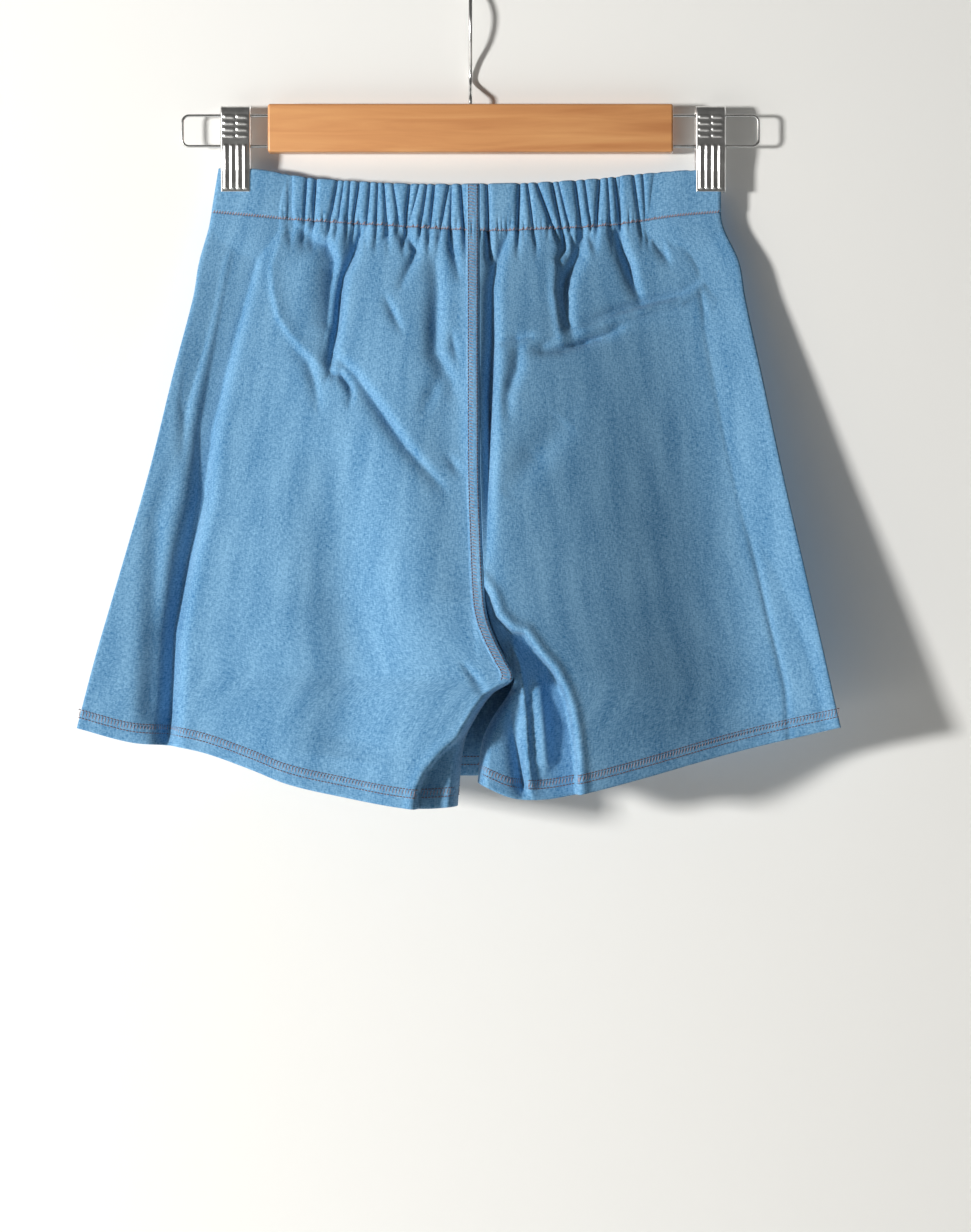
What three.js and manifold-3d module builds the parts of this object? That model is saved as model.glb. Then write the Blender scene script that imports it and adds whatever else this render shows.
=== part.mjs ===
// A skort hung by its waistband from a clip hanger: pull-on shorts with a skirt panel over the front,
// seen with the back of the shorts outwards. Millimetres, +X to the wearer-side right as seen from the back,
// +Y towards the wall behind, +Z up. The origin is the inside top of the hook, where a rail carries it.
import * as THREE from "three";
import { mergeVertices } from "three/addons/utils/BufferGeometryUtils.js";
import Module from "manifold-3d";

const { lerp, clamp, smoothstep, degToRad } = THREE.MathUtils;

// Driving dimensions.
const CLOTH = 1.4; // wall of one layer of cloth
const BAND = 2.4; // wall of the elastic casing: cloth turned over a band of elastic
const SEAM_GAP = 0.3; // clear space where two pieces are sewn together
const FOLD_CLEAR = 0.3; // more space between back and front, whose walls lean apart at the side folds
const HANG_PLANE = -18; // the hanger's middle plane lies in front of the rail seat
const BAR = { length: 263, height: 31.4, depth: 12, top: -77.2, round: 1.5 };
const WIRE = { diameter: 2, upper: -84.3, lower: -104.2, reach: 188.2, corner: 4.2 };
const HOOK = { diameter: 2.5, ends: 12 };
const JAW = { width: 19, top: -78.2, bottom: -134, sheet: 1, bow: 5.4, flange: 0.8, flangeLow: -108 };
const CLIPS = [
  { name: "left", x: -152.6 },
  { name: "right", x: 155.8 },
];
const CAMEL = new THREE.Color(0.79, 0.52, 0.28);
const DENIM = new THREE.Color(0.2, 0.4, 0.6);
const STEEL = new THREE.Color(0.75, 0.76, 0.77);

// Level sections of the garment, from the waist down. left and right are its side folds, edge is how far
// the side folds stand out from the hanger's plane, crest is the ridge of the back, front and skirt are
// the flat middles of the two layers on the wall side.
const SECTIONS = [
  { z: -110, left: -162, right: 163, edge: 0, crest: -7.4, front: 4.6, skirt: 4.6 },
  { z: -147, left: -168, right: 162.5, edge: 0, crest: -8.2, front: 5, skirt: 5.2 },
  { z: -158, left: -170, right: 164.5, edge: -0.5, crest: -9.2, front: 5, skirt: 5.6 },
  { z: -180, left: -176, right: 174.3, edge: -3, crest: -15, front: 4.6, skirt: 6.6 },
  { z: -203, left: -179.6, right: 178, edge: -6, crest: -22, front: 4.2, skirt: 6.8 },
  { z: -251, left: -191.5, right: 187.8, edge: -13, crest: -36, front: 3.6, skirt: 6.4 },
  { z: -315, left: -206.4, right: 200.7, edge: -22, crest: -50, front: 3, skirt: 6 },
  { z: -384, left: -225.2, right: 215.6, edge: -32, crest: -63, front: 2.6, skirt: 5.6 },
  { z: -435, left: -239.4, right: 226.6, edge: -39, crest: -72, front: 2.4, skirt: 5.4 },
  { z: -481, left: -250.8, right: 236.5, edge: -45, crest: -79, front: 2.2, skirt: 5.2 },
  { z: -540, left: -265, right: 251, edge: -52, crest: -87, front: 2, skirt: 5 },
];

// The centre seam down to the crotch, then the inner edge of each leg.
const CROTCH = -449;
const INNER = [
  { z: -110, left: 5.9, right: 5.9 },
  { z: -310, left: 6.1, right: 6.1 },
  { z: -360, left: 7.5, right: 7.5 },
  { z: -398, left: 9.3, right: 9.7 },
  { z: -412, left: 11.6, right: 12.4 },
  { z: -425, left: 16.6, right: 17.4 },
  { z: -437, left: 22.6, right: 23.4 },
  { z: CROTCH, left: 27.1, right: 27.9 },
  { z: -459, left: 14, right: 25 },
  { z: -474, left: 3.5, right: 15 },
  { z: -489, left: -3.6, right: 8 },
  { z: -516, left: -7, right: 5 },
  { z: -535, left: -8.4, right: 4.5 },
];

// Edges that run across the garment, as a height for each place along it.
const WAIST_TOP = [
  { x: -165, z: -119 },
  { x: -139, z: -119.5 },
  { x: -104, z: -125 },
  { x: -72, z: -127.5 },
  { x: -41, z: -129.3 },
  { x: 26, z: -129.3 },
  { x: 80, z: -126 },
  { x: 105, z: -123 },
  { x: 144, z: -120 },
  { x: 165, z: -120 },
];
const CASING_STITCH = [
  { x: -168, z: -147 },
  { x: -118, z: -151.5 },
  { x: -60, z: -155.5 },
  { x: 0, z: -159.3 },
  { x: 31, z: -159.3 },
  { x: 90, z: -155.5 },
  { x: 134, z: -149.5 },
  { x: 163, z: -147 },
];
const BACK_HEM = {
  left: [
    { x: -251, z: -481 },
    { x: -217, z: -490 },
    { x: -190, z: -492.5 },
    { x: -168, z: -497 },
    { x: -139, z: -507 },
    { x: -117, z: -515.5 },
    { x: -89, z: -522 },
    { x: -36, z: -531 },
    { x: -8, z: -530 },
  ],
  right: [
    { x: 5, z: -515.5 },
    { x: 24, z: -524 },
    { x: 39, z: -526 },
    { x: 54, z: -525 },
    { x: 77, z: -520.5 },
    { x: 107, z: -513 },
    { x: 167, z: -497 },
    { x: 236.5, z: -480.5 },
  ],
};
const FRONT_HEM = [
  { x: -251, z: -480 },
  { x: -160, z: -492 },
  { x: -70, z: -502 },
  { x: -6, z: -505 },
  { x: 6, z: -504 },
  { x: 90, z: -500 },
  { x: 160, z: -490 },
  { x: 236.5, z: -479.5 },
];
const SKIRT_HEM = [
  { x: -251, z: -479.5 },
  { x: -160, z: -497 },
  { x: -70, z: -510 },
  { x: 0, z: -513.5 },
  { x: 70, z: -510 },
  { x: 160, z: -495 },
  { x: 236.5, z: -479 },
];

// The largest folds of the back. A fold follows its path of [x, z] points; deep is how far its floor lies
// behind the cloth round it (less than nothing for a ridge), wide is its half width on the left and right.
const BACK_FOLDS = [
  { name: "left side trough", deep: [4, 9, 12], wide: [9, 7], path: [[-131, -160], [-150, -204], [-172, -301], [-191, -420], [-193, -492]] },
  { name: "edge trough", deep: [2, 5, 1], wide: [5, 5], path: [[-156, -160], [-170, -204], [-186, -290]] },
  { name: "left slit", deep: [3, 8, 1], wide: [7, 4], path: [[-70, -158], [-82, -196], [-86, -238], [-92, -256]] },
  { name: "long slant", deep: [1, 4, 1], wide: [6, 6], path: [[-84, -248], [-50, -284], [-15, -325]] },
  { name: "seam valley", deep: [5, 9, 3], wide: [4, 6], path: [[14, -160], [15, -186], [13, -260], [11, -345]] },
  { name: "middle gather", deep: [3, 7, 1], wide: [5, 5], path: [[72, -160], [61, -192], [62, -222]] },
  { name: "right gather", deep: [3, 5, 1], wide: [5, 5], path: [[94, -158], [103, -184], [110, -204]] },
  { name: "outer gather", deep: [3, 6, 1], wide: [5, 5], path: [[134, -154], [150, -175], [159, -196]] },
  { name: "right cross fold", deep: [1, 4, 1], wide: [5, 5], path: [[48, -240], [86, -228], [148, -196]] },
  { name: "left leg turn", deep: [2, 16, 16], wide: [3, 60], path: [[20, -452], [-12, -490], [-36, -524]] },
  { name: "right leg turn", deep: [2, 22, 18], wide: [22, 4], path: [[14, -395], [32, -420], [60, -462], [70, -520]] },
];

// The gathers of the elastic waist: the places of their creases along the casing.
const GATHERS = [
  -129, -117, -103, -88, -75, -64, -52, -40, -29, -19, -9, 12, 21, 32, 40, 51, 62, 72, 84, 95, 106, 118, 130, 142,
];
const GATHER = { deep: 1.5, wide: 2.6 };

// A value of a column of a table, on a smooth curve through its rows.
function along(rows, key, column, at) {
  const falling = rows[0][key] > rows[rows.length - 1][key];
  const past = rows.findIndex((row) => (falling ? row[key] < at : row[key] > at));
  const high = clamp(past < 0 ? rows.length - 1 : past, 1, rows.length - 1);
  const [a, b] = [rows[high - 1], rows[high]];
  const [before, after] = [rows[Math.max(high - 2, 0)], rows[Math.min(high + 1, rows.length - 1)]];
  const span = b[key] - a[key];
  const t = clamp((at - a[key]) / span, 0, 1);
  const startSlope = (b[column] - before[column]) / (b[key] - before[key]);
  const endSlope = (after[column] - a[column]) / (after[key] - a[key]);
  const [t2, t3] = [t * t, t * t * t];
  return (
    (2 * t3 - 3 * t2 + 1) * a[column] +
    (t3 - 2 * t2 + t) * span * startSlope +
    (3 * t2 - 2 * t3) * b[column] +
    (t3 - t2) * span * endSlope
  );
}

// The nearest place on a fold's path: how far along it, from 0 to 1, and how far off it, less than
// nothing to the left.
function placeOnPath(path, x, z) {
  let nearest = { off: Infinity, run: 0 };
  const lengths = path.slice(1).map(([bx, bz], i) => Math.hypot(bx - path[i][0], bz - path[i][1]));
  const total = lengths.reduce((sum, length) => sum + length, 0);
  let done = 0;
  lengths.forEach((length, i) => {
    const [[ax, az], [bx, bz]] = [path[i], path[i + 1]];
    const [dx, dz] = [(bx - ax) / length, (bz - az) / length];
    const run = clamp((x - ax) * dx + (z - az) * dz, 0, length);
    const [ox, oz] = [x - ax - dx * run, z - az - dz * run];
    const distance = Math.hypot(ox, oz);
    if (distance < Math.abs(nearest.off)) {
      const side = ox * -dz + oz * dx;
      nearest = { off: Math.sign(side) * distance, run: (done + run) / total };
    }
    done += length;
  });
  return nearest;
}

function foldDepth(fold, x, z) {
  const { off, run } = placeOnPath(fold.path, x, z);
  const [start, middle, end] = fold.deep;
  const deep = run < 0.5 ? lerp(start, middle, run * 2) : lerp(middle, end, run * 2 - 1);
  const wide = off < 0 ? fold.wide[0] : fold.wide[1];
  return deep * Math.exp(-((off / wide) ** 2));
}

function gatherDepth(x, z, strength) {
  const middle = along(CASING_STITCH, "x", "z", x);
  const fade = smoothstep(z, middle - 45, middle - 4);
  const creases = GATHERS.map((at) => Math.exp(-(((x - at) / GATHER.wide) ** 2)));
  return strength * fade * GATHER.deep * creases.reduce((sum, crease) => sum + crease, 0);
}

// How far the back stands out: a ridge at the centre seam that falls off to the side folds, then the folds.
// Below the crotch each leg rolls round its inner edge to the inseam.
const ROLL = { reach: 7, start: CROTCH - 1, full: CROTCH - 9, inseam: 0.5 };
const LAYERS_APART = 0.8; // clear space between back and front where a fold reaches the front
const EDGE_END = 0.012; // share of the width next to a side fold where the layers come together
const FOLDS_END = 0.05; // share of the width next to a side fold where the folds die out
function backDepth(side, x, z) {
  const seam = along(INNER, "z", side, z);
  const outer = along(SECTIONS, "z", side, z);
  const edge = along(SECTIONS, "z", "edge", z);
  const crest = along(SECTIONS, "z", "crest", z);
  const across = clamp((x - seam) / (outer - seam), 0, 1);
  const body = lerp(crest, edge, smoothstep(across, side === "left" ? -0.08 : -0.02, 0.86));
  const folds = BACK_FOLDS.reduce((sum, fold) => sum + foldDepth(fold, x, z), 0);
  const away = smoothstep(1 - across, 0, FOLDS_END);
  const apart = smoothstep(1 - across, 0, EDGE_END);
  const folded = body + folds * away + gatherDepth(x, z, away);
  const surface = Math.min(folded, wallDepth("front", side, x, z) - LAYERS_APART * apart);
  return rollToInseam(surface, Math.abs(x - seam), z);
}

function rollToInseam(surface, fromEdge, z) {
  const below = 1 - smoothstep(z, ROLL.full, ROLL.start);
  const round = Math.max(0, 1 - fromEdge / ROLL.reach);
  const inseam = lerp(along(SECTIONS, "z", "front", z), along(SECTIONS, "z", "crest", z), ROLL.inseam);
  return lerp(surface, inseam, below * (1 - Math.sqrt(1 - round * round)));
}

// How far a layer on the wall side stands out: flat in the middle, swept forward to the side folds, and
// at the waist pinched flat where the clips hold it.
const FLARE = 3; // power of the sweep
const PINCH = { from: 0.5, to: 0.84, fades: -205, full: -152 };
function wallDepth(column, side, x, z) {
  const outer = along(SECTIONS, "z", side, z);
  const edge = along(SECTIONS, "z", "edge", z);
  const flat = along(SECTIONS, "z", column, z);
  const across = clamp(x / outer, 0, 1);
  const pinch = smoothstep(z, PINCH.fades, PINCH.full) * smoothstep(across, PINCH.from, PINCH.to);
  return lerp(flat, edge, Math.max(across ** FLARE, pinch));
}

// Turns a grid of points on a sheet's middle into a closed wall: each point is moved out by half the
// wall's thickness to both sides along the sheet's normal. Above the crotch the borders are cut square
// to the garment's plane, so that sewn edges face each other.
function wallFromGrid(points, thickness) {
  const [rows, columns] = [points.length, points[0].length];
  const level = new THREE.Vector3(0, -1, 0);
  const layers = [-1, 1].map((way) =>
    points.map((row, i) =>
      row.map((point, j) => {
        const [above, below] = [points[Math.max(i - 1, 0)][j], points[Math.min(i + 1, rows - 1)][j]];
        const down = new THREE.Vector3().subVectors(below, above);
        const over = new THREE.Vector3().subVectors(row[Math.min(j + 1, columns - 1)], row[Math.max(j - 1, 0)]);
        const border = i === 0 || i === rows - 1 || j === 0 || j === columns - 1;
        const square = border && point.z > CROTCH;
        const normal = square ? level : down.cross(over).normalize();
        return point.clone().addScaledVector(normal, (way * thickness) / 2);
      }),
    ),
  );
  const positions = layers.flat(2).flatMap((point) => point.toArray());
  const id = (layer, i, j) => (layer * rows + i) * columns + j;
  const faces = [];
  const quad = (a, b, c, d) => faces.push(a, b, c, a, c, d);
  for (let i = 0; i < rows - 1; i++) {
    for (let j = 0; j < columns - 1; j++) {
      quad(id(1, i, j), id(1, i + 1, j), id(1, i + 1, j + 1), id(1, i, j + 1));
      quad(id(0, i, j), id(0, i, j + 1), id(0, i + 1, j + 1), id(0, i + 1, j));
    }
  }
  for (let j = 0; j < columns - 1; j++) {
    quad(id(0, 0, j), id(1, 0, j), id(1, 0, j + 1), id(0, 0, j + 1));
    quad(id(0, rows - 1, j + 1), id(1, rows - 1, j + 1), id(1, rows - 1, j), id(0, rows - 1, j));
  }
  for (let i = 0; i < rows - 1; i++) {
    quad(id(0, i + 1, 0), id(1, i + 1, 0), id(1, i, 0), id(0, i, 0));
    quad(id(0, i, columns - 1), id(1, i, columns - 1), id(1, i + 1, columns - 1), id(0, i + 1, columns - 1));
  }
  const wall = new THREE.BufferGeometry();
  wall.setAttribute("position", new THREE.Float32BufferAttribute(positions, 3));
  wall.setIndex(faces);
  wall.computeVertexNormals();
  return wall;
}

// A grid over a panel. The place across runs from its first to its second edge, the place down from its
// top line to its bottom line, and depth gives how far each point stands out.
function panelGrid({ columns, rows, first, second, top, bottom, depth }) {
  return rows.map((down) =>
    columns.map((over) => {
      let z = lerp(top(0), bottom(0), down);
      let x = 0;
      for (let pass = 0; pass < 6; pass++) {
        x = lerp(first(z), second(z), over);
        z = lerp(top(x), bottom(x), down);
      }
      return new THREE.Vector3(x, depth(x, z), z);
    }),
  );
}

const steps = (from, to, count) => Array.from({ length: count }, (_, i) => lerp(from, to, i / (count - 1)));
const waistTop = (x) => along(WAIST_TOP, "x", "z", x);
const casing = (x) => along(CASING_STITCH, "x", "z", x);
const sideFold = (side, z) => along(SECTIONS, "z", side, z);
const innerEdge = (side, z) => along(INNER, "z", side, z);
const towards = { left: -1, right: 1 };

function backPanel(side) {
  const way = towards[side];
  const inner = (z) => innerEdge(side, z) + (way * SEAM_GAP) / 2;
  const outer = (z) => sideFold(side, z);
  const acrossLeft = [...steps(0, 0.93, 22), 0.945, 0.958, 0.969, 0.979, 0.988, 1];
  const left = side === "left";
  return wallFromGrid(
    panelGrid({
      columns: left ? acrossLeft : acrossLeft.map((over) => 1 - over).reverse(),
      rows: [...steps(0, 0.75, 17), 0.77, 0.782, 0.79, 0.8, 0.815, 0.84, 0.87, 0.905, 0.95, 1],
      first: left ? outer : inner,
      second: left ? inner : outer,
      top: (x) => casing(x) - SEAM_GAP / 2,
      bottom: (x) => along(BACK_HEM[side], "x", "z", x),
      depth: (x, z) => backDepth(side, x, z) - (CLOTH + SEAM_GAP) / 2 - FOLD_CLEAR,
    }),
    CLOTH,
  );
}

function frontPanel(side) {
  const way = towards[side];
  const inner = (z) => innerEdge(side, z) + (way * SEAM_GAP) / 2;
  const outer = (z) => sideFold(side, z);
  const left = side === "left";
  const acrossLeft = [...steps(0, 0.93, 12), 0.95, 0.965, 0.978, 0.99, 1];
  return wallFromGrid(
    panelGrid({
      columns: left ? acrossLeft : acrossLeft.map((over) => 1 - over).reverse(),
      rows: [...steps(0, 0.8, 8), 0.84, 0.855, 0.87, 0.9, 0.95, 1],
      first: left ? outer : inner,
      second: left ? inner : outer,
      top: (x) => casing(x) - SEAM_GAP / 2,
      bottom: (x) => along(FRONT_HEM, "x", "z", x),
      depth: (x, z) => {
        const flat = wallDepth("front", side, x, z);
        const rolled = rollToInseam(flat, Math.abs(x - innerEdge(side, z)), z);
        return rolled + (CLOTH + SEAM_GAP) / 2;
      },
    }),
    CLOTH,
  );
}

function skirtPanel() {
  return wallFromGrid(
    panelGrid({
      columns: steps(0, 1, 27),
      rows: steps(0, 1, 9),
      first: (z) => sideFold("left", z),
      second: (z) => sideFold("right", z),
      top: (x) => casing(x) - SEAM_GAP / 2,
      bottom: (x) => along(SKIRT_HEM, "x", "z", x),
      depth: (x, z) => wallDepth("skirt", x < 0 ? "left" : "right", x, z) + 1.5 * (CLOTH + SEAM_GAP) + FOLD_CLEAR,
    }),
    CLOTH,
  );
}

function backBand(side) {
  const way = towards[side];
  const seam = (z) => innerEdge(side, z) + (way * SEAM_GAP) / 2;
  const outer = (z) => sideFold(side, z);
  const left = side === "left";
  return wallFromGrid(
    panelGrid({
      columns: steps(0, 1, 38),
      rows: steps(0, 1, 4),
      first: left ? outer : seam,
      second: left ? seam : outer,
      top: waistTop,
      bottom: (x) => casing(x) + SEAM_GAP / 2,
      depth: (x, z) => backDepth(side, x, z) - (BAND + SEAM_GAP) / 2,
    }),
    BAND,
  );
}

function frontBand() {
  return wallFromGrid(
    panelGrid({
      columns: steps(0, 1, 40),
      rows: steps(0, 1, 3),
      first: (z) => sideFold("left", z),
      second: (z) => sideFold("right", z),
      top: waistTop,
      bottom: (x) => casing(x) + SEAM_GAP / 2,
      depth: (x, z) => wallDepth("front", x < 0 ? "left" : "right", x, z) + (BAND + SEAM_GAP) / 2,
    }),
    BAND,
  );
}

// manifold-3d joins the bent sheet of a clip's jaw with its side flanges.
const wasm = await Module();
wasm.setup();

function solidOf(geometry) {
  const bare = geometry.clone();
  bare.deleteAttribute("normal");
  bare.deleteAttribute("uv");
  const merged = mergeVertices(bare, 1e-4);
  const vertProperties = new Float32Array(merged.attributes.position.array);
  return new wasm.Manifold(new wasm.Mesh({ numProp: 3, vertProperties, triVerts: new Uint32Array(merged.index.array) }));
}

function joined(first, ...others) {
  const whole = others.reduce((solid, other) => solid.add(solidOf(other)), solidOf(first));
  const mesh = whole.getMesh();
  const geometry = new THREE.BufferGeometry();
  geometry.setAttribute("position", new THREE.Float32BufferAttribute(mesh.vertProperties, 3));
  geometry.setIndex(Array.from(mesh.triVerts));
  geometry.computeVertexNormals();
  return geometry;
}

// A jaw is one strip of sheet metal, seen here from its side: the grip at the bottom, a bowed back over the
// wires and a lip that closes the top. Its two flanges ride on the wires.
function clipJaw(way) {
  const grip = BAND + SEAM_GAP + LAYERS_APART;
  const route = [
    [grip, JAW.bottom],
    [grip, JAW.bottom + 14],
    [JAW.bow, JAW.flangeLow],
    [JAW.bow, JAW.top - 3],
    [JAW.bow - 2, JAW.top],
    [SEAM_GAP / 2, JAW.top],
  ];
  const back = [
    [SEAM_GAP / 2, JAW.top - JAW.sheet],
    [JAW.bow - 2 - JAW.sheet / 2, JAW.top - JAW.sheet],
    [JAW.bow - JAW.sheet, JAW.top - 3.4],
    [JAW.bow - JAW.sheet, JAW.flangeLow],
    [grip, JAW.bottom + 15.5],
  ];
  const outline = [[grip + JAW.sheet, JAW.bottom], [grip + JAW.sheet, JAW.bottom + 14], ...route.slice(2)];
  const shape = new THREE.Shape([...outline, ...back, [grip, JAW.bottom]].map(([y, z]) => new THREE.Vector2(y, z)));
  const sheet = new THREE.ExtrudeGeometry(shape, { depth: JAW.width, bevelEnabled: false });
  sheet.translate(0, 0, -JAW.width / 2);
  const clear = WIRE.diameter / 2 + SEAM_GAP;
  const flanges = [-1, 1].map((end) => {
    const deep = JAW.bow - JAW.sheet / 2 - clear;
    const high = JAW.top - 4 - JAW.flangeLow;
    const flange = new THREE.BoxGeometry(deep, high, JAW.flange);
    flange.translate(clear + deep / 2, JAW.flangeLow + high / 2, end * (JAW.width / 2 - JAW.flange / 2 - 0.01));
    return flange;
  });
  const jaw = joined(sheet, ...flanges);
  // The outline was drawn with x as the way out and y as up; turn it to Y out and Z up.
  const turn = new THREE.Matrix4().makeBasis(
    new THREE.Vector3(0, way, 0),
    new THREE.Vector3(0, 0, 1),
    new THREE.Vector3(way, 0, 0),
  );
  return jaw.applyMatrix4(turn);
}

function sweptWire(path, diameter, count, sides) {
  const round = new THREE.Shape();
  round.setFromPoints(
    Array.from({ length: sides }, (_, i) => {
      const turn = degToRad((360 / sides) * i);
      return new THREE.Vector2((diameter / 2) * Math.cos(turn), (diameter / 2) * Math.sin(turn));
    }),
  );
  return new THREE.ExtrudeGeometry(round, { steps: count, bevelEnabled: false, extrudePath: path });
}

function wireLoop(side) {
  const way = towards[side];
  const start = way * (BAR.length / 2 + SEAM_GAP);
  const end = way * (WIRE.reach - WIRE.diameter / 2);
  const bend = way * WIRE.corner;
  const at = (x, z) => new THREE.Vector3(x, 0, z);
  const { upper, lower, corner } = WIRE;
  const path = new THREE.CurvePath();
  path.add(new THREE.LineCurve3(at(start, upper), at(end - bend, upper)));
  path.add(new THREE.QuadraticBezierCurve3(at(end - bend, upper), at(end, upper), at(end, upper - corner)));
  path.add(new THREE.LineCurve3(at(end, upper - corner), at(end, lower + corner)));
  path.add(new THREE.QuadraticBezierCurve3(at(end, lower + corner), at(end, lower), at(end - bend, lower)));
  path.add(new THREE.LineCurve3(at(end - bend, lower), at(start, lower)));
  return sweptWire(path, WIRE.diameter, 48, 8);
}

// The hook's wire lies in the plane across the hanger: round the rail, forward, then back to its neck.
function hookWire() {
  const seat = HOOK.diameter / 2;
  const route = [
    [19.5, -33],
    [20.6, -20],
    [14.8, -5.2],
    [0, seat],
    [-13.6, -4.4],
    [-18.6, -19],
    [-16.6, -35],
    [-10.6, -49],
    [-8.4, -60],
    [-13.4, -67.5],
    [HANG_PLANE + 0.5, -72.5],
    [HANG_PLANE, BAR.top + 0.5],
  ];
  const path = new THREE.CatmullRomCurve3(route.map(([y, z]) => new THREE.Vector3(0, y, z)));
  return sweptWire(path, HOOK.diameter, 56, HOOK.ends);
}

function woodenBar() {
  const { length, height, depth, round } = BAR;
  const face = new THREE.Shape();
  const [halfDeep, halfHigh] = [depth / 2, height / 2];
  face.moveTo(-halfDeep + round, -halfHigh);
  face.lineTo(halfDeep - round, -halfHigh);
  face.absarc(halfDeep - round, -halfHigh + round, round, -Math.PI / 2, 0, false);
  face.lineTo(halfDeep, halfHigh - round);
  face.absarc(halfDeep - round, halfHigh - round, round, 0, Math.PI / 2, false);
  face.lineTo(-halfDeep + round, halfHigh);
  face.absarc(-halfDeep + round, halfHigh - round, round, Math.PI / 2, Math.PI, false);
  face.lineTo(-halfDeep, -halfHigh + round);
  face.absarc(-halfDeep + round, -halfHigh + round, round, Math.PI, 1.5 * Math.PI, false);
  const bar = new THREE.ExtrudeGeometry(face, { depth: length, bevelEnabled: false, curveSegments: 4 });
  bar.translate(0, 0, -length / 2);
  const turn = new THREE.Matrix4().makeBasis(
    new THREE.Vector3(0, 1, 0),
    new THREE.Vector3(0, 0, 1),
    new THREE.Vector3(1, 0, 0),
  );
  return bar.applyMatrix4(turn).translate(0, 0, BAR.top - height / 2);
}

const denim = () => new THREE.MeshStandardMaterial({ color: DENIM, roughness: 0.9, metalness: 0, side: THREE.DoubleSide });
const wood = () => new THREE.MeshStandardMaterial({ color: CAMEL, roughness: 0.45, metalness: 0 });
const steel = () => new THREE.MeshStandardMaterial({ color: STEEL, roughness: 0.2, metalness: 1 });

function named(name, geometry, material) {
  const mesh = new THREE.Mesh(geometry, material);
  mesh.name = name;
  return mesh;
}

const skort = new THREE.Group();
const hanging = new THREE.Group();
hanging.position.y = HANG_PLANE;
for (const side of ["left", "right"]) {
  hanging.add(named(`back_${side}`, backPanel(side), denim()));
  hanging.add(named(`front_${side}`, frontPanel(side), denim()));
  hanging.add(named(`waistband_back_${side}`, backBand(side), denim()));
  hanging.add(named(`wire_loop_${side}`, wireLoop(side), steel()));
}
hanging.add(named("waistband_front", frontBand(), denim()));
hanging.add(named("skirt_panel", skirtPanel(), denim()));
hanging.add(named("hanger_bar", woodenBar(), wood()));
for (const { name, x } of CLIPS) {
  const clip = new THREE.Group();
  clip.position.x = x;
  clip.add(named(`clip_${name}_back_jaw`, clipJaw(-1), steel()));
  clip.add(named(`clip_${name}_front_jaw`, clipJaw(1), steel()));
  hanging.add(clip);
}
skort.add(hanging);
skort.add(named("hook", hookWire(), steel()));

export default skort;
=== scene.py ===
import math
import bpy
import bmesh
import numpy as np
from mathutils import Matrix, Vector


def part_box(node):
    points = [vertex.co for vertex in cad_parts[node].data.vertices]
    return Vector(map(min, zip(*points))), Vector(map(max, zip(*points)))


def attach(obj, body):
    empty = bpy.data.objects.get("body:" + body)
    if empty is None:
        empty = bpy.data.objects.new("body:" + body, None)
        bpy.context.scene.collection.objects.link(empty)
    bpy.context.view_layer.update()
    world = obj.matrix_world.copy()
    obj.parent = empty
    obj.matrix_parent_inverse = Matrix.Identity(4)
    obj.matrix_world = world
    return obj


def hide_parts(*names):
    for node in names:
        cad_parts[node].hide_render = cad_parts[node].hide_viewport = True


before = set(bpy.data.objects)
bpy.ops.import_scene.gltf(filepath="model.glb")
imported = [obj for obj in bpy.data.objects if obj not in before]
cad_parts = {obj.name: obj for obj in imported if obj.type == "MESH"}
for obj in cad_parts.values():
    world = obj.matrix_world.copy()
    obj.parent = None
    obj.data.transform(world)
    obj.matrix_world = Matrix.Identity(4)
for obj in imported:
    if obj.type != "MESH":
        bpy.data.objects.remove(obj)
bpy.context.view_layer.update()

# The camera looks straight at the back of the shorts, level with the middle of the legs.
MM = 0.001
VIEW_CENTRE = Vector((9.75 * MM, 0, -409.5 * MM))
VIEW_DISTANCE = 2.4
VIEW_HEIGHT = 0.8008
bar_low, bar_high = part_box("hanger_bar")
HANG_PLANE = (bar_low.y + bar_high.y) / 2
camera_data = bpy.data.cameras.new("camera")
camera_data.sensor_width = 36
camera_data.lens = camera_data.sensor_width * VIEW_DISTANCE / VIEW_HEIGHT
camera = bpy.data.objects.new("camera", camera_data)
bpy.context.collection.objects.link(camera)
camera.location = (VIEW_CENTRE.x, HANG_PLANE - VIEW_DISTANCE, VIEW_CENTRE.z)
camera.rotation_euler = (math.pi / 2, 0, 0)
bpy.context.scene.camera = camera
bpy.context.scene.view_settings.view_transform = "Standard"


# The back of the shorts: two panels of light stretch denim, gathered at the waist, joined by the centre
# seam and turned round each leg to the inseam. Tables are in millimetres, in the hanger's own plane.
SECTIONS = np.array([
    # z, left, right, edge, crest, front, skirt
    (-540, -265, 251, -52, -87, 2, 5),
    (-481, -250.8, 236.5, -45, -79, 2.2, 5.2),
    (-435, -239.4, 226.6, -39, -72, 2.4, 5.4),
    (-384, -225.2, 215.6, -32, -63, 2.6, 5.6),
    (-315, -206.4, 200.7, -22, -50, 3, 6),
    (-251, -191.5, 187.8, -13, -36, 3.6, 6.4),
    (-203, -179.6, 178, -6, -22, 4.2, 6.8),
    (-180, -176, 174.3, -3, -15, 4.6, 6.6),
    (-158, -170, 164.5, -0.5, -9.2, 5, 5.6),
    (-147, -168, 162.5, 0, -8.2, 5, 5.2),
    (-110, -162, 163, 0, -7.4, 4.6, 4.6),
])
LEFT, RIGHT, EDGE, CREST, FRONT, SKIRT = range(1, 7)
COLUMN = {"left": LEFT, "right": RIGHT}
CROTCH = -449
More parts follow.
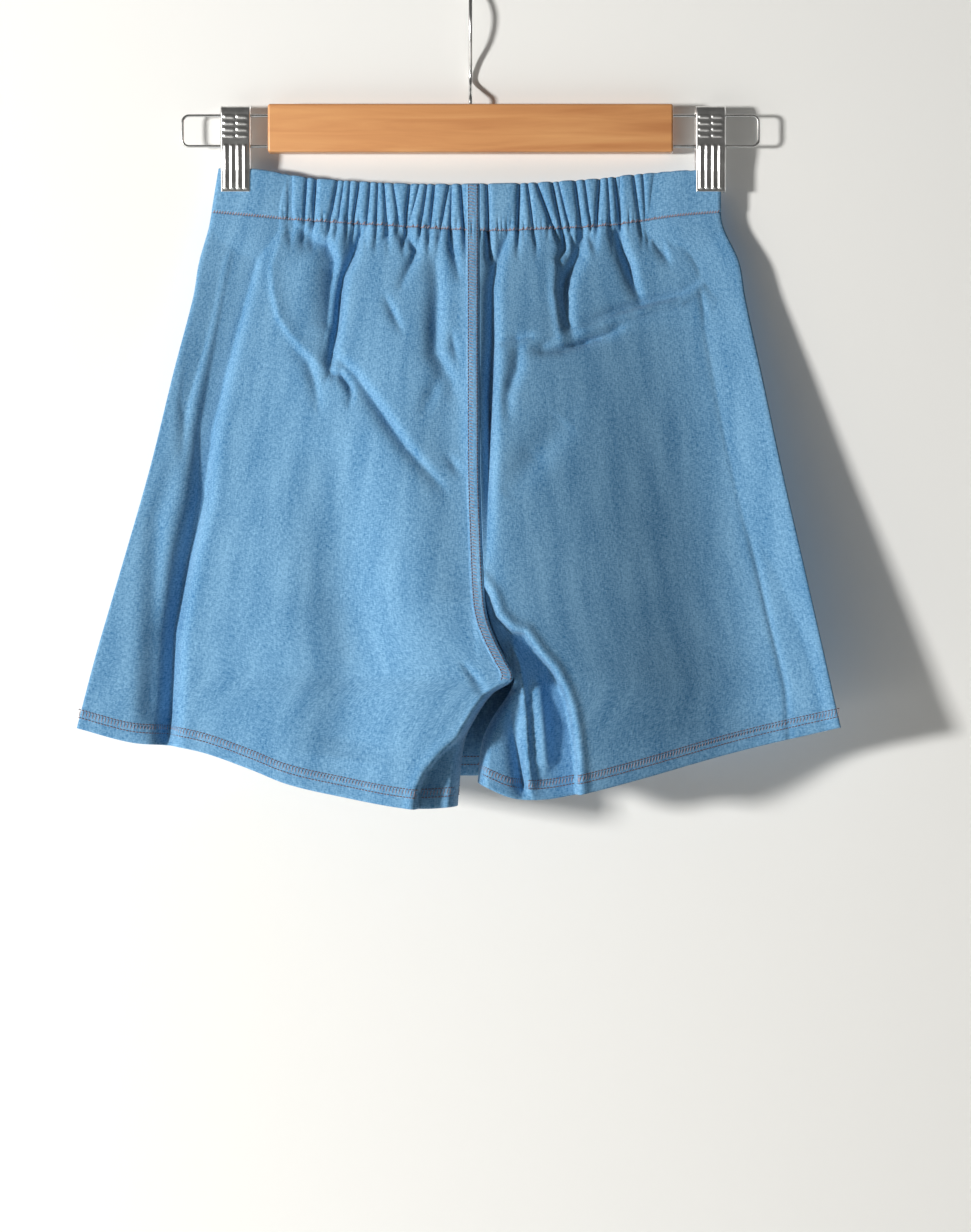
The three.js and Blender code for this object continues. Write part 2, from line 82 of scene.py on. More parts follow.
INNER = np.array([
    # z, left, right
    (-535, -8.4, 4.5), (-516, -7, 5), (-489, -3.6, 8), (-474, 3.5, 15), (-459, 14, 25),
    (CROTCH, 27.1, 27.9), (-437, 22.6, 23.4), (-425, 16.6, 17.4), (-412, 11.6, 12.4),
    (-398, 9.3, 9.7), (-360, 7.5, 7.5), (-310, 6.1, 6.1), (-110, 5.9, 5.9),
])
WAIST_TOP = np.array([
    (-165, -119), (-139, -119.5), (-104, -125), (-72, -127.5), (-41, -129.3), (26, -129.3),
    (80, -126), (105, -123), (144, -120), (165, -120),
])
CASING_STITCH = np.array([
    (-168, -147), (-118, -151.5), (-60, -155.5), (0, -159.3), (31, -159.3), (90, -155.5),
    (134, -149.5), (163, -147),
])
BACK_HEM = {
    "left": np.array([
        (-251, -481), (-217, -490), (-190, -492.5), (-168, -497), (-139, -507), (-117, -515.5),
        (-89, -522), (-36, -531), (-8, -530),
    ]),
    "right": np.array([
        (5, -515.5), (24, -524), (39, -526), (54, -525), (77, -520.5), (107, -513), (167, -497),
        (236.5, -480.5),
    ]),
}
CLOTH_WALL = 0.9
CASING_WALL = 1.6
STRIP_WALL = 0.6
HALF_SEAM = 0.15  # half of the gap between two sewn pieces
LAYERS_APART = 0.8
# How far each layer's finished cloth lies outside the surface that its depth is worked out on.
BACK_OUT, FRONT_OUT, SKIRT_OUT, CASING_OUT = 1.15, 0.85, 2.85, 1.0
FOLD_DEEPER = 1.6
GATHERS_DEEPER = 1.9

# Folds: name, depth at the start, middle and end, half width to the left and right, sharpness, path.
BACK_FOLDS = [
    ("edge trough", (2.5, 4, 0.3), (4, 4), 1.6, [
        (-156, -155), (-166, -176), (-173, -218), (-184, -270), (-186, -313)]),
    ("side trough", (5, 8, 12), (8, 5), 1.8, [
        (-131, -158), (-143, -176), (-150, -204), (-161, -251), (-169, -289), (-173, -334), (-182, -373),
        (-190, -420), (-193, -492)]),
    ("side ripple", (0.3, 2, 3), (7, 6), 2, [(-187, -302), (-201, -347), (-203, -418), (-205, -476)]),
    ("curved crease", (-0.6, -1.3, -0.5), (1.6, 6), 1.4, [
        (-122, -162), (-129, -183), (-128, -199), (-124, -216), (-116, -228), (-105, -240), (-90, -255)]),
    ("bulge side", (3, 5, 2), (9, 2.2), 1.6, [
        (-108, -159), (-102, -165), (-92, -168), (-88, -179), (-91, -198), (-93, -224)]),
    ("left slit", (4.5, 9, 3), (5, 2.2), 1.4, [
        (-70, -157), (-75, -174), (-82, -189), (-84, -200), (-86, -224), (-91, -254)]),
    ("long slant", (1.5, 4, 0.8), (5, 2.6), 1.5, [
        (-88, -241), (-74, -254), (-61, -272), (-41, -301), (-26, -318), (-16, -329)]),
    ("slit hook", (3, 3, 0.5), (3, 2), 1.5, [
        (-90, -254), (-84, -253), (-78, -261), (-76, -267), (-78, -276)]),
    ("short slant", (0.5, 2, 0.3), (4, 3), 1.6, [(-115, -236), (-105, -245), (-100, -259), (-97, -279)]),
    ("broad valley", (1, 6.5, 5), (24, 26), 2, [
        (-86, -293), (-82, -341), (-78, -399), (-72, -432), (-80, -500)]),
    ("right hollow", (2, 7, 8), (54, 46), 2, [(146, -205), (160, -334), (176, -490)]),
    ("seam bay", (1.5, 4.5, 3.5), (24, 12), 2, [(-10, -195), (-8, -290), (2, -400)]),
    ("small slant", (0.5, 2, 0.5), (3, 2), 1.5, [(-55, -203), (-44, -226)]),
    ("near seam", (1.5, 4, 0.5), (6, 4), 1.8, [
        (-23, -176), (-21, -198), (-22, -240), (-12, -259), (-10, -272)]),
    ("near seam short", (0.5, 1.6, 0.3), (3, 2), 1.5, [(-12, -226), (-8, -247)]),
    ("cross dent", (0.3, 1.3, 0.3), (5, 4), 2, [(-17, -251), (-31, -281)]),
    ("low dent", (0.3, 1.3, 0.3), (3, 3), 2, [(-15, -307), (-5, -320)]),
    ("gather turn", (2.5, 3, 0.5), (3, 2.6), 1.5, [
        (-41, -159), (-39, -166), (-35, -173), (-37, -179), (-46, -199)]),
    ("seam gather", (2.2, 3, 0.5), (2.6, 2), 1.5, [(-11, -158), (-11, -170), (-9, -182), (-7, -193)]),
    ("gather tail", (1.8, 1.4, 0.4), (2.5, 2), 1.5, [(-53, -161), (-56, -166), (-64, -171)]),
    ("gather drop", (1.8, 1.2, 0.3), (2, 2), 1.5, [(-48, -158), (-46, -167)]),
    ("corner gather", (1.8, 1.5, 0.4), (2, 2), 1.5, [(-117, -151), (-117, -159), (-121, -164)]),
    ("seam feed", (3, 3, 4), (2.5, 2), 1.5, [(11, -159), (13, -179)]),
    ("seam valley", (3.5, 9, 2), (5, 3), 1.5, [
        (24, -163), (17, -182), (14.5, -198), (14.5, -233), (13, -269), (12, -315), (10.5, -372)]),
    ("middle gather", (3, 7, 1.5), (5.5, 3.5), 1.5, [
        (72, -159), (70, -176), (63, -190), (61, -200), (62, -217), (66, -228)]),
    ("middle ridge", (-0.6, -2, -0.5), (3, 4), 1.8, [(55, -178), (54, -200), (58, -232)]),
    ("middle gather top", (2.5, 2.5, 1), (2.6, 2), 1.5, [(61, -161), (61, -172), (57, -179), (59, -186)]),
    ("middle gather side", (2, 1.6, 0.4), (2.2, 2), 1.5, [(76, -160), (79, -172)]),
    ("right gather", (3, 5.5, 1.2), (4.5, 2.6), 1.5, [
        (94, -157), (99, -172), (103, -182), (106, -194), (110, -204)]),
    ("right gather small", (2.5, 3, 0.5), (3.5, 2.2), 1.5, [(117, -155), (122, -166), (129, -181)]),
    ("outer gather", (4, 7, 2.5), (4.5, 3.2), 1.5, [
        (134, -152), (140, -157), (147, -163), (151, -174), (156, -185), (159, -196)]),
    ("outer gather small", (1.8, 1.4, 0.3), (2.2, 2), 1.5, [(127, -153), (134, -160)]),
    ("cross trough", (0.8, 3.2, 0.8), (2.4, 4), 1.5, [
        (68, -223), (80, -219), (93, -213), (113, -207), (136, -201), (152, -191)]),
    ("cross ridge", (-1, -2.6, -0.8), (2, 2.4), 1.4, [
        (68, -227), (80, -223), (93, -218), (113, -212), (136, -206), (152, -195)]),
    ("cross lip", (1.5, 5, 0.8), (2.6, 2.4), 1.4, [
        (43, -240), (59, -238), (72, -234), (87, -229), (99, -222)]),
    ("inner cross", (1.5, 2.4, 0.5), (2.4, 2), 1.5, [(19, -234), (29, -231), (41, -229)]),
    ("inner cross low", (0.4, 1.5, 0.4), (2.4, 2), 1.5, [(35, -240), (47, -235), (58, -229)]),
    ("inner drop", (1.5, 2.8, 0.4), (5, 3.5), 1.7, [(31, -236), (30, -252), (24, -268), (24, -285)]),
    ("pressed line", (0.8, 1.1, 1.1), (1.6, 2.2), 1.3, [
        (149, -198), (163, -280), (176, -338), (189, -399), (202, -456), (204, -490)]),
    ("soft diagonal", (0.6, 2, 0.5), (11, 9), 2, [(62, -285), (20, -332)]),
    ("crotch wrinkle", (0.8, 2, 1.5), (2, 2), 1.5, [(-4, -440), (4, -450), (10, -460)]),
    ("inner pleat", (-2, -5, -4), (1.3, 3.4), 1.2, [
        (26, -427), (31, -440), (33, -453), (35, -476), (36, -498), (38, -520)]),
    ("inner pleat soft", (-2, -5, -3), (5, 4), 1.8, [(43, -452), (46, -478), (48, -505)]),
    ("inner pleat trough", (1, 4, 6), (5, 3), 1.6, [(25, -462), (29, -490), (34, -520)]),
]
# Turns: the cloth past a fold's edge lies deep behind it, to the right (1) or the left (-1).
BACK_TURNS = [
    ("left leg turn", 1, (4, 15, 15), [
        (27, -450), (14, -459), (-2, -481), (-17, -494), (-28, -507), (-34, -520), (-36, -540)]),
    ("right leg turn", -1, (2, 22, 20), [
        (7, -386), (14, -396), (18, -409), (27, -418), (35, -420), (44, -433), (53, -443), (60, -457),
        (64, -470), (66, -481), (68, -498), (70, -540)]),
]
# Gathers: place at the top edge, place at the casing stitch, depth, half width.
GATHERS = [
    (-122, -129, 2.2, 1.8), (-117, -117, 2, 1.5), (-106, -108, 1.6, 1.4), (-100, -102, 2.4, 1.6),
    (-86, -91, 2, 1.5), (-82, -86, 1.3, 1.2), (-78, -80, 1.5, 1.2), (-72, -76, 2.4, 1.5),
    (-65, -67, 1.6, 1.3), (-60, -61, 1.7, 1.2), (-56, -54, 1.7, 1.3), (-50, -46, 1.3, 1.2),
    (-39, -42, 2.2, 1.6), (-33, -40, 1.4, 1.2), (-28, -32, 1.9, 1.4), (-23, -26, 2.3, 1.6),
    (-14, -19, 1.9, 1.4), (-12, -13, 1.8, 1.2), (-6, -4, 2.2, 1.4), (11, 12, 2.3, 1.4),
    (32, 31, 2.4, 1.7), (37, 41, 1.9, 1.3), (43, 54, 2.2, 1.5), (53, 59, 2.4, 1.5),
    (57, 64, 1.6, 1.3), (68, 72, 2.2, 1.5), (74, 78, 1.4, 1.2), (84, 82, 2.3, 1.6),
    (89, 91, 1.2, 1.1), (94, 97, 2.3, 1.5), (97, 98, 1.2, 1.1), (106, 110, 2.1, 1.4),
    (112, 114, 1.3, 1.2), (121, 117, 2.2, 1.5), (130, 130, 1.1, 1.8), (143, 135, 2.2, 1.6),
    (145, 146, 1.5, 1.2),
]


def along(table, column, at):
    """A column of a table, on a smooth curve through its rows."""
    keys, values = table[:, 0], table[:, column]
    at = np.asarray(at, dtype=float)
    high = np.clip(np.searchsorted(keys, at), 1, len(keys) - 1)
    low = high - 1
    before, after = np.maximum(low - 1, 0), np.minimum(high + 1, len(keys) - 1)
    span = keys[high] - keys[low]
    t = np.clip((at - keys[low]) / span, 0, 1)
    start = (values[high] - values[before]) / (keys[high] - keys[before]) * span
    end = (values[after] - values[low]) / (keys[after] - keys[low]) * span
    return ((2 * t**3 - 3 * t**2 + 1) * values[low] + (t**3 - 2 * t**2 + t) * start
            + (3 * t**2 - 2 * t**3) * values[high] + (t**3 - t**2) * end)


def smooth(low, high, at):
    t = np.clip((at - low) / (high - low), 0, 1)
    return t * t * (3 - 2 * t)


def place_on_path(path, x, z):
    """How far off a path each point lies, less than nothing to its left, and how far along it."""
    path = np.array(path, dtype=float)
    lengths = np.hypot(*np.diff(path, axis=0).T)
    best = np.full(x.shape, 1e9)
    side = np.zeros(x.shape)
    run = np.zeros(x.shape)
    done = 0.0
    for (ax, az), (bx, bz), length in zip(path[:-1], path[1:], lengths):
        dx, dz = (bx - ax) / length, (bz - az) / length
        here = np.clip((x - ax) * dx + (z - az) * dz, 0, length)
        ox, oz = x - ax - dx * here, z - az - dz * here
        distance = np.hypot(ox, oz)
        nearer = distance < best
        best = np.where(nearer, distance, best)
        side = np.where(nearer, ox * -dz + oz * dx, side)
        run = np.where(nearer, (done + here) / lengths.sum(), run)
        done += length
    return np.where(side < 0, -best, best), run


def depth_along(depths, run):
    return np.interp(run, [0, 0.5, 1], depths)


def gathers(x, z, strength=1.0):
    """The creases of the elastic waist, which fade out below the casing, with fine puckers at its stitch."""
    stitch = along(CASING_STITCH, 1, x)
    down = (along(WAIST_TOP, 1, x) - z) / (along(WAIST_TOP, 1, x) - stitch)
    creased = np.zeros(x.shape)
    for top, bottom, deep, wide in GATHERS:
        centre = top + (bottom - top) * np.clip(down, 0, 1.4)
        near = smooth(-0.1, 0.25, down) * 0.45 + 0.55
        creased += deep * near * np.exp(-(np.abs(x - centre) / wide) ** 1.5)
    fade = smooth(-24, -2, z - stitch) * 0.75 + smooth(-5, 4, z - stitch) * 0.25
    flat_ends = smooth(-141, -131, x) * (1 - smooth(147, 155, x))
    pucker = np.exp(-((z - stitch) / 6) ** 2) * (0.28 * np.sin(x * 1.9 + 1.5 * np.sin(x * 0.31))
                                                 + 0.2 * np.sin(x * 1.13 + 2 * np.sin(x * 0.17)))
    ends = smooth(-168, -150, x) * (1 - smooth(150, 163, x))
    return strength * (creased * fade * flat_ends + pucker * (0.35 * ends + 0.65 * flat_ends))


def wall_depth(column, x, z):
    """A layer on the wall side: flat in the middle, swept forward to the side folds, pinched at the clips."""
    outer = np.where(x < 0, along(SECTIONS, LEFT, z), along(SECTIONS, RIGHT, z))
    edge, flat = along(SECTIONS, EDGE, z), along(SECTIONS, column, z)
    across = np.clip(x / outer, 0, 1)
    pinch = smooth(-205, -152, z) * smooth(0.5, 0.84, across)
    blend = np.maximum(across**3, pinch)
    return flat + (edge - flat) * blend


def roll_to_inseam(surface, from_edge, z):
    below = 1 - smooth(CROTCH - 9, CROTCH - 1, z)
    turn = np.clip(1 - from_edge / 7, 0, 1)
    inseam = (along(SECTIONS, FRONT, z) + along(SECTIONS, CREST, z)) / 2
    return surface + (inseam - surface) * below * (1 - np.sqrt(1 - turn**2))


def back_depth(side, x, z):
    seam, outer = along(INNER, COLUMN[side], z), along(SECTIONS, COLUMN[side], z)
    edge, crest = along(SECTIONS, EDGE, z), along(SECTIONS, CREST, z)
    across = np.clip((x - seam) / (outer - seam), 0, 1)
    body = crest + (edge - crest) * smooth(-0.08 if side == "left" else -0.02, 0.86, across)
    folds = np.zeros(x.shape)
    for _, depths, (left, right), sharp, path in BACK_FOLDS:
        off, run = place_on_path(path, x, z)
        wide = np.where(off < 0, left, right)
        ends = np.sqrt(np.clip(run * 12 + 0.3, 0, 1) * np.clip((1 - run) * 12 + 0.3, 0, 1))
        folds += FOLD_DEEPER * depth_along(depths, run) * ends * np.exp(-(np.abs(off) / wide) ** sharp)
    for _, way, depths, path in BACK_TURNS:
        if (way > 0) == (side == "left"):
            off, run = place_on_path(path, x, z)
            lip = -1.6 * np.exp(-((off * way + 2.5) / 3) ** 2)
            inside = (run > 0) & (run < 1)
            reach = 1 - smooth(4, 9, np.where(inside, 0, np.abs(off)))
            folds += (depth_along(depths, run) * smooth(-0.6, 2.2, off * way) + lip) * reach
    away = smooth(0, 0.05, 1 - across)
    folded = body + folds * away + gathers(x, z, GATHERS_DEEPER) * away
    fronts = wall_depth(FRONT, x, z) - LAYERS_APART * smooth(0, 0.012, 1 - across)
    surface = np.minimum(folded, fronts)
    return roll_to_inseam(surface, np.abs(x - seam), z)


def grid(first, second, top, bottom, over, down, depth):
    """Points of a sheet: across from its first to its second edge, down from its top to its bottom line."""
    s, f = np.meshgrid(over, down)
    z = top(np.zeros(s.shape)) * (1 - f) + bottom(np.zeros(s.shape)) * f
    for _ in range(8):
        x = first(z) * (1 - s) + second(z) * s
        z = top(x) * (1 - f) + bottom(x) * f
    return np.stack([x, depth(x, z), z], axis=-1)


def even(count, fine_at=None, share=0.25, within=0.06):
    """Evenly spaced shares from 0 to 1, with a share of them close to one end where an edge turns."""
    if fine_at is None:
        return np.linspace(0, 1, count)
    close = int(count * share)
    coarse = np.linspace(0, 1 - within, count - close)
    fine = 1 - within * (1 - np.linspace(0, 1, close + 1)[1:])
    spread = np.concatenate([coarse, fine])
    return spread if fine_at == "end" else 1 - spread[::-1]


def shell(name, points, thickness, material):
    """A closed cloth wall on a grid of points in millimetres, finished at its place in metres."""
    rows, columns = points.shape[:2]
    places = points.reshape(-1, 3) * MM + np.array([0, HANG_PLANE, 0])
    index = np.arange(rows * columns).reshape(rows, columns)
    quads = np.stack([index[:-1, :-1], index[1:, :-1], index[1:, 1:], index[:-1, 1:]], axis=-1).reshape(-1, 4)
    mesh = bpy.data.meshes.new(name)
    mesh.from_pydata(places.tolist(), [], quads.tolist())
    uv = mesh.uv_layers.new(name="cloth")
    steps_x = np.linalg.norm(np.diff(points, axis=1), axis=-1).mean(axis=0)
    steps_z = np.linalg.norm(np.diff(points, axis=0), axis=-1).mean(axis=1)
    u = np.concatenate([[0], np.cumsum(steps_x)]) * MM
    v = -np.concatenate([[0], np.cumsum(steps_z)]) * MM
    corner = np.stack(np.broadcast_arrays(u[None, :], v[:, None]), axis=-1).reshape(-1, 2)
    loops = np.zeros(len(mesh.loops), dtype=int)
    mesh.loops.foreach_get("vertex_index", loops)
    uv.data.foreach_set("uv", corner[loops].ravel())
    mesh.polygons.foreach_set("use_smooth", [True] * len(mesh.polygons))
    sheet = bpy.data.objects.new(name, mesh)
    bpy.context.collection.objects.link(sheet)
    mesh.materials.append(material)
    bpy.ops.object.select_all(action="DESELECT")
    bpy.context.view_layer.objects.active = sheet
    sheet.select_set(True)
    wall = sheet.modifiers.new("wall", "SOLIDIFY")
    wall.thickness = thickness * MM
    wall.offset = 0
    bpy.ops.object.modifier_apply(modifier="wall")
    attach(sheet, "root")
    return sheet


def node(tree, kind, **settings):
    made = tree.nodes.new(kind)
    for key, value in settings.items():
        if key in made.inputs:
            made.inputs[key].default_value = value
        else:
            setattr(made, key, value)
    return made


def ramp(tree, source, stops):
    made = tree.nodes.new("ShaderNodeValToRGB")
    made.color_ramp.elements[0].position, made.color_ramp.elements[0].color = stops[0]
    made.color_ramp.elements[1].position, made.color_ramp.elements[1].color = stops[-1]
    for position, colour in stops[1:-1]:
        made.color_ramp.elements.new(position).color = colour
    tree.links.new(source, made.inputs["Fac"])
    return made.outputs["Color"]


# Denim: blue warp and pale weft in a fine twill, with a slightly cloudy wash and flecks of bare weft.
def denim_cloth():
    deep = (0.025, 0.145, 0.32, 1)
    pale = (0.245, 0.475, 0.70, 1)
    material = bpy.data.materials.new("denim_cloth")
    material.use_nodes = True
    tree = material.node_tree
    shader = tree.nodes["Principled BSDF"]
    shader.inputs["Roughness"].default_value = 0.88
    shader.inputs["Sheen Weight"].default_value = 0.1
    shader.inputs["Sheen Roughness"].default_value = 0.5
    shader.inputs["Specular IOR Level"].default_value = 0.25
    where = tree.nodes.new("ShaderNodeUVMap")
    where.uv_map = "cloth"
    threads = []
    for stretch in ((900, 380, 1), (420, 1500, 1)):
        mapping = node(tree, "ShaderNodeMapping")
        mapping.inputs["Scale"].default_value = stretch
        tree.links.new(where.outputs["UV"], mapping.inputs["Vector"])
        noise = node(tree, "ShaderNodeTexNoise")
        noise.inputs["Scale"].default_value = 1
        noise.inputs["Detail"].default_value = 2
        tree.links.new(mapping.outputs["Vector"], noise.inputs["Vector"])
        threads.append(noise.outputs["Fac"])
    cloud_map = node(tree, "ShaderNodeMapping")
    cloud_map.inputs["Scale"].default_value = (80, 16, 1)
    tree.links.new(where.outputs["UV"], cloud_map.inputs["Vector"])
    cloud = node(tree, "ShaderNodeTexNoise")
    cloud.inputs["Scale"].default_value = 1
    cloud.inputs["Detail"].default_value = 4
    tree.links.new(cloud_map.outputs["Vector"], cloud.inputs["Vector"])
    add = node(tree, "ShaderNodeMath", operation="ADD")
    tree.links.new(threads[0], add.inputs[0])
    tree.links.new(threads[1], add.inputs[1])
    half = node(tree, "ShaderNodeMath", operation="MULTIPLY_ADD")
    half.inputs[1].default_value = 0.36
    tree.links.new(add.outputs[0], half.inputs[0])
    cloud_share = node(tree, "ShaderNodeMath", operation="MULTIPLY")
    cloud_share.inputs[1].default_value = 0.28
    tree.links.new(cloud.outputs["Fac"], cloud_share.inputs[0])
    tree.links.new(cloud_share.outputs[0], half.inputs[2])
    colour = ramp(tree, half.outputs[0], [
        (0.34, deep), (0.5, tuple((a + b) / 2 for a, b in zip(deep, pale))), (0.66, pale)])
    tree.links.new(colour, shader.inputs["Base Color"])
    bump = node(tree, "ShaderNodeBump")
    bump.inputs["Strength"].default_value = 0.35
    bump.inputs["Distance"].default_value = 0.0004
    tree.links.new(add.outputs[0], bump.inputs["Height"])
    tree.links.new(bump.outputs["Normal"], shader.inputs["Normal"])
    return material


denim = denim_cloth()


def side_fold(side):
    return lambda z: along(SECTIONS, COLUMN[side], z)


def inner_edge(side):
    way = -1 if side == "left" else 1
    return lambda z: along(INNER, COLUMN[side], z) + way * HALF_SEAM


def line(table, lift=0.0):
    return lambda x: along(table, 1, x) + lift


def panel_edges(side):
    return (side_fold(side), inner_edge(side)) if side == "left" else (inner_edge(side), side_fold(side))


for side in ("left", "right"):
    first, second = panel_edges(side)
    over = even(170, "end" if side == "left" else "start", share=0.12, within=0.035)
    points = grid(first, second, line(CASING_STITCH, -HALF_SEAM), line(BACK_HEM[side]), over, even(230),
                  lambda x, z, side=side: back_depth(side, x, z) - BACK_OUT)
    back = shell(f"back_{side}_cloth", points, CLOTH_WALL, denim)
    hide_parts(f"back_{side}")

# The fronts of the shorts: two gently rippled panels behind, which show only at the leg openings.
FRONT_HEM = np.array([
    (-251, -480), (-160, -492), (-70, -502), (-6, -505), (6, -504), (90, -500), (160, -490), (236.5, -479.5),
])
FRONT_RIPPLES = [(-180, 0.8), (-95, 1.2), (-40, 0.8), (60, 1), (120, 1.2), (185, 0.8)]


def ripples(table, x, z, grows=0.004):
    soft = np.zeros(x.shape)
    for place, deep in table:
        centre = place * (0.72 + 0.28 * (-z - 150) / 350)
        soft += deep * np.clip((-z - 170) * grows, 0, 1.3) * np.exp(-((x - centre) / 16) ** 2)
    return soft


for side in ("left", "right"):
    first, second = panel_edges(side)
    over = even(70, "end" if side == "left" else "start", share=0.25, within=0.05)
    points = grid(first, second, line(CASING_STITCH, -HALF_SEAM), line(FRONT_HEM), over, even(80),
                  lambda x, z, side=side: roll_to_inseam(
                      wall_depth(FRONT, x, z) - ripples(FRONT_RIPPLES, x, z),
                      np.abs(x - along(INNER, COLUMN[side], z)), z) + FRONT_OUT)
    front = shell(f"front_{side}_cloth", points, CLOTH_WALL, denim)
    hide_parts(f"front_{side}")

# The skirt panel: one flared piece over the shorts fronts, held in the side folds and the casing.
SKIRT_HEM = np.array([
    (-251, -479.5), (-160, -497), (-70, -510), (0, -513.5), (70, -510), (160, -495), (236.5, -479),
])
# Folds: place and depth.
SKIRT_FOLDS = [
    (-200, -1.2), (-150, 2), (-105, -1.4), (-62, 2.2), (-18, -1.5), (35, 2), (85, -1.6), (130, 2.2),
    (180, -1.2),
]


def skirt_depth(x, z):
    """The skirt's surface below its gathers, with folds that die out at the side folds."""
    near_side = smooth(1, 0.9, np.abs(x) / along(SECTIONS, RIGHT, z))
    return wall_depth(SKIRT, x, z) + SKIRT_OUT + ripples(SKIRT_FOLDS, x, z) * near_side


points = grid(side_fold("left"), side_fold("right"), line(CASING_STITCH, -HALF_SEAM), line(SKIRT_HEM),
              even(190), even(130),
              lambda x, z: skirt_depth(x, z) + 0.9 * gathers(-x, z) * smooth(1, 0.85, np.abs(x) / 160))
skirt = shell("skirt_cloth", points, CLOTH_WALL, denim)
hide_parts("skirt_panel")

# The casing: the panels' top edges turned over an elastic, gathered in sharp upright creases.
def band_swell(x, z):
    """The casing's face swells between its top fold and its stitch."""
    top, stitch = along(WAIST_TOP, 1, x), along(CASING_STITCH, 1, x)
    share = np.clip((top - z) / (top - stitch), 0, 1)
    return 0.7 * np.sqrt(np.clip(1 - (2 * share - 1) ** 4, 0, 1))


def top_edge(x):
    return along(WAIST_TOP, 1, x) - 0.3 * gathers(x, along(WAIST_TOP, 1, x))


for side in ("left", "right"):
    first, second = panel_edges(side)
    points = grid(first, second, top_edge, line(CASING_STITCH, HALF_SEAM), even(260), even(34),
                  lambda x, z, side=side: back_depth(side, x, z) - CASING_OUT - band_swell(x, z))
    band = shell(f"waistband_back_{side}_cloth", points, CASING_WALL, denim)
    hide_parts(f"waistband_back_{side}")
points = grid(side_fold("left"), side_fold("right"), top_edge, line(CASING_STITCH, HALF_SEAM),
              even(380), even(24),
              lambda x, z: wall_depth(FRONT, x, z) + CASING_OUT + band_swell(x, z) + 0.8 * gathers(-x, z)
              * smooth(1, 0.85, np.abs(x) / 150))
front_band = shell("waistband_front_cloth", points, CASING_WALL, denim)
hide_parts("waistband_front")


# Stitching: short raised stitches in two rows along the hems and the centre seam, in a darker thread whose
# colour holds painted shade of the stitch holes, with rose thread between the rows and in one slanting row
# that holds the casing.
STITCH, STITCH_HALF = 1.7, 0.34
SKIRT_STITCH_HALF = 0.32
COVER_HALF = 0.24
PITCH = 2.1
HEM_ROWS = (7.2, 12.4)


def thread(name, colour):
    material = bpy.data.materials.new(name)
    material.use_nodes = True
    tree = material.node_tree
    shader = tree.nodes["Principled BSDF"]
    shader.inputs["Roughness"].default_value = 0.75
    shader.inputs["Sheen Weight"].default_value = 0.3
    where = tree.nodes.new("ShaderNodeTexCoord")
    twist = node(tree, "ShaderNodeTexNoise")
    twist.inputs["Scale"].default_value = 1400
    tree.links.new(where.outputs["Object"], twist.inputs["Vector"])
    dark = tuple(c * 0.6 for c in colour[:3]) + (1,)
    shade = ramp(tree, twist.outputs["Fac"], [(0.35, dark), (0.65, colour)])
    tree.links.new(shade, shader.inputs["Base Color"])
    return material


rose_thread = thread("rose_thread", (0.36, 0.27, 0.30, 1))
# The needle rows' thread: the brownish thread colour, darkened with painted shade of the stitch holes.
thread_with_painted_hole_shade = thread("rose_thread_with_painted_hole_shade", (0.16, 0.11, 0.14, 1))


def stitch_row(spots, ways, name, length, radius, material):
    """One mesh of small six-sided stitches, each lying on the cloth along its own way."""
    rings = [(-0.5, 0.25), (-0.3, 0.9), (0.3, 0.9), (0.5, 0.25)]
    verts, faces = [], []
    for spot, way in zip(spots, ways):
        way = Vector(way).normalized()
        out = Vector((0, -1, 0))
        out = (out - way * out.dot(way)).normalized()
        across = way.cross(out)
        base = len(verts)
        for share, fat in rings:
            for k in range(6):
                turn = k * math.pi / 3
                ring = (across * math.cos(turn) * 1.15 + out * math.sin(turn)) * radius * fat
                verts.append((Vector(spot) + way * share * length + ring) * MM + Vector((0, HANG_PLANE, 0)))
        for r in range(3):
            for k in range(6):
                a, b = base + r * 6 + k, base + r * 6 + (k + 1) % 6
                faces.append((a, a + 6, b + 6, b))
        faces.append(tuple(base + k for k in range(6)))
        faces.append(tuple(base + 18 + k for k in reversed(range(6))))
    mesh = bpy.data.meshes.new(name)
    mesh.from_pydata([tuple(v) for v in verts], [], faces)
    mesh.polygons.foreach_set("use_smooth", [True] * len(mesh.polygons))
    made = bmesh.new()
    made.from_mesh(mesh)
    bmesh.ops.recalc_face_normals(made, faces=made.faces)
    made.to_mesh(mesh)
    made.free()
    mesh.materials.append(material)
    row = bpy.data.objects.new(name, mesh)
    bpy.context.collection.objects.link(row)
    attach(row, "root")
    return row


def stitches_along(points, pitch):
    """Evenly spaced spots and ways on a line of points."""
    points = np.asarray(points)
    steps = np.linalg.norm(np.diff(points, axis=0), axis=1)
    reach = np.concatenate([[0], np.cumsum(steps)])
    at = np.arange(pitch / 2, reach[-1], pitch)
    spots = np.stack([np.interp(at, reach, points[:, k]) for k in range(3)], axis=-1)
    ahead = np.stack([np.interp(at + 0.6, reach, points[:, k]) for k in range(3)], axis=-1)
    behind = np.stack([np.interp(at - 0.6, reach, points[:, k]) for k in range(3)], axis=-1)
    return spots, ahead - behind


def on_back(side, x, z, proud=0.55):
    x, z = np.asarray(x, dtype=float), np.asarray(z, dtype=float)
    return np.stack([x, back_depth(side, x, z) - BACK_OUT - proud, z], axis=-1)


for side in ("left", "right"):
    spans = {"left": (-250, -7), "right": (5.5, 235.6)}[side]
    x = np.linspace(*spans, 900)
    for row, rise in enumerate(HEM_ROWS):
        z = along(BACK_HEM[side], 1, x) + rise
        spots, ways = stitches_along(on_back(side, x, z), PITCH)
        stitch_row(spots, ways, f"hem_stitch_{side}_{row}", STITCH, STITCH_HALF, thread_with_painted_hole_shade)
    z = along(BACK_HEM[side], 1, x) + sum(HEM_ROWS) / 2
    spots, ways = stitches_along(on_back(side, x, z, 0.5), PITCH)
    ways = ways * 0.2 + np.array([0.0, 0, 1]) * np.linalg.norm(ways, axis=1)[:, None]
    stitch_row(spots, ways, f"hem_cover_{side}", 4.2, COVER_HALF, rose_thread)

